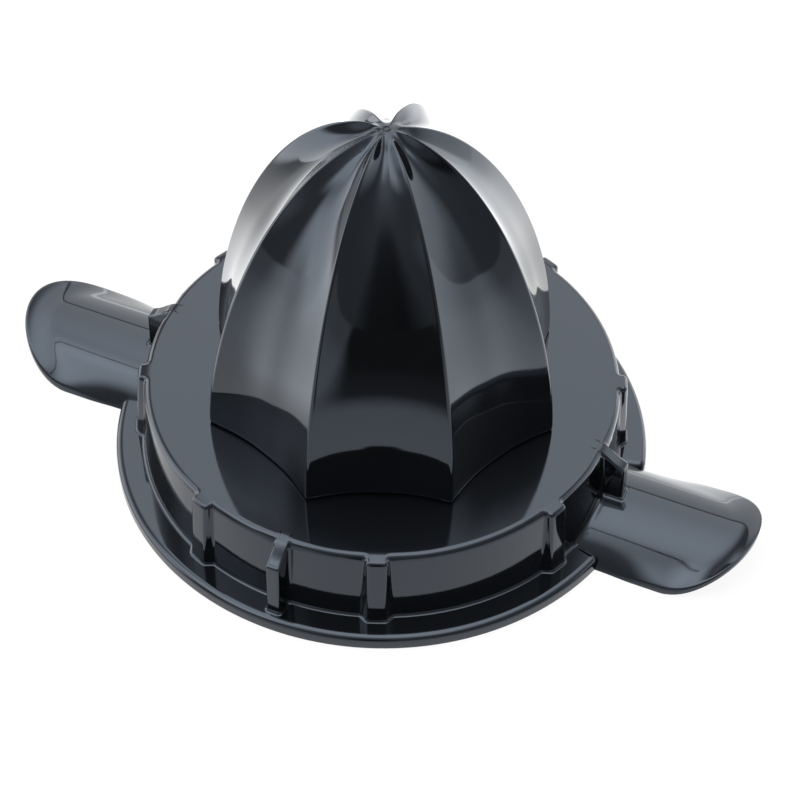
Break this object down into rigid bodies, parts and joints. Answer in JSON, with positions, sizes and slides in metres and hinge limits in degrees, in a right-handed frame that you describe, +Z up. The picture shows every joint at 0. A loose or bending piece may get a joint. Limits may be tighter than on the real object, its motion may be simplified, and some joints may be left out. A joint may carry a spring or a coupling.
{
  "type": "citrus reaming head",
  "caption": "Fluted citrus reaming cone turning on a spindle in a round flat-decked collar with a rim flange and wing grips on opposite sides.",
  "frame": {"origin": "centre of the rim's underside, where the head rests, on the cone's axis", "axes": "+X runs out along one wing grip and +Z up the cone's axis"},
  "size_m": [0.1714, 0.1156, 0.0909],
  "materials": {
    "collar_gloss": "high gloss, moulded",
    "cone_gloss": "high gloss, moulded",
    "insert_brass": "machined",
    "spindle_steel": "ground",
    "bush_bronze": "sintered, oiled",
    "washer_nylon": "satin",
    "seal_rubber": "matt",
    "washer_steel": "stamped",
    "clip_steel": "stamped spring steel",
    "coupling_acetal": "satin",
    "pin_steel": "ground"
  },
  "bodies": {
    "collar": {"grip_collar": "collar_gloss", "spindle_bush": "bush_bronze", "thrust_washer": "washer_nylon", "juice_seal": "seal_rubber"},
    "cone": {"reamer_cone": "cone_gloss", "drive_insert": "insert_brass", "drive_spindle": "spindle_steel", "lower_washer": "washer_steel", "retaining_clip": "clip_steel", "drive_coupling": "coupling_acetal", "coupling_pin": "pin_steel"}
  },
  "joints": [
    {"name": "cone_spin", "type": "hinge", "parent": "collar", "child": "cone", "pos_m": [0, 0, 0.0206], "axis": [0, 0, 1], "continuous": true}
  ]
}
